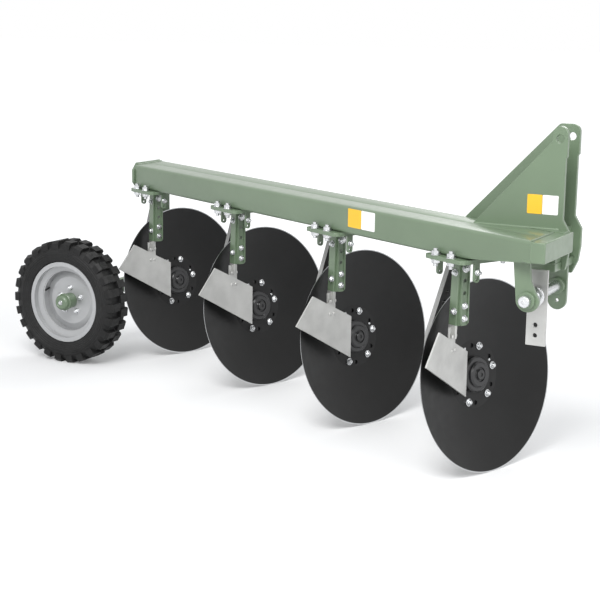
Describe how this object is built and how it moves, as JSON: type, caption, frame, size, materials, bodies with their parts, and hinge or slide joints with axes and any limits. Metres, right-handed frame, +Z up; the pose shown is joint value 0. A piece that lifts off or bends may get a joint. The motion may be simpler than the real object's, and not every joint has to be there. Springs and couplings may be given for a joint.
{
  "type": "mounted disc plough",
  "caption": "Tractor-mounted disc plough: dished discs on bent standards under a slanted double-tube beam, with scrapers, a triangular headstock and a rear furrow wheel.",
  "frame": {"origin": "on the floor below the middle of the plough's bounding box", "axes": "+X is the direction of travel, +Y the plough's left side, +Z up"},
  "size_m": [2.71, 1.5664, 1.182],
  "materials": {
    "green_paint": "gloss",
    "disc_black": "satin",
    "hub_black": "satin",
    "bright_steel": "satin",
    "rim_silver": "satin",
    "tyre_rubber": "matte"
  },
  "bodies": {
    "frame": {"base_plate": "green_paint", "beam": "green_paint", "beam_front_plate": "green_paint", "beam_rear_plate": "green_paint", "bearing_housing_1": "green_paint", "bearing_housing_2": "green_paint", "bearing_housing_3": "green_paint", "bearing_housing_4": "green_paint", "cross_pin": "bright_steel", "disc_bracket_1": "green_paint", "disc_bracket_2": "green_paint", "disc_bracket_3": "green_paint", "disc_bracket_4": "green_paint", "disc_leg_1": "green_paint", "disc_leg_2": "green_paint", "disc_leg_3": "green_paint", "disc_leg_4": "green_paint", "drop_bar": "bright_steel", "headstock_cover": "green_paint", "headstock_deck": "green_paint", "headstock_plate_left": "green_paint", "headstock_plate_right": "green_paint", "hitch_cheek_left": "green_paint", "hitch_cheek_right": "green_paint", "scraper_arm_1": "green_paint", "scraper_arm_2": "green_paint", "scraper_arm_3": "green_paint", "scraper_arm_4": "green_paint", "scraper_blade_1": "bright_steel", "scraper_blade_2": "bright_steel", "scraper_blade_3": "bright_steel", "scraper_blade_4": "bright_steel", "stem_sleeve": "green_paint", "wheel_carrier": "green_paint"},
    "disc_1": {"disc_blade_1": "disc_black", "disc_hub_1": "hub_black"},
    "disc_2": {"disc_blade_2": "disc_black", "disc_hub_2": "hub_black"},
    "disc_3": {"disc_blade_3": "disc_black", "disc_hub_3": "hub_black"},
    "disc_4": {"disc_blade_4": "disc_black", "disc_hub_4": "hub_black"},
    "wheel": {"tyre": "tyre_rubber", "wheel_rim": "rim_silver", "wheel_hub": "green_paint"}
  },
  "joints": [
    {"name": "disc_1_spin", "type": "hinge", "parent": "frame", "child": "disc_1", "pos_m": [1.05504, -0.4319, 0.32718], "axis": [0.9349, -0.3292, 0.1323], "continuous": true},
    {"name": "disc_2_spin", "type": "hinge", "parent": "frame", "child": "disc_2", "pos_m": [0.45096, -0.13072, 0.32718], "axis": [0.9349, -0.3292, 0.1323], "continuous": true},
    {"name": "disc_3_spin", "type": "hinge", "parent": "frame", "child": "disc_3", "pos_m": [-0.15312, 0.17047, 0.32718], "axis": [0.9349, -0.3292, 0.1323], "continuous": true},
    {"name": "disc_4_spin", "type": "hinge", "parent": "frame", "child": "disc_4", "pos_m": [-0.7572, 0.47165, 0.32718], "axis": [0.9349, -0.3292, 0.1323], "continuous": true},
    {"name": "wheel_spin", "type": "hinge", "parent": "frame", "child": "wheel", "pos_m": [-1.08496, 0.0621, 0.27008], "axis": [0, -1, 0], "continuous": true}
  ]
}
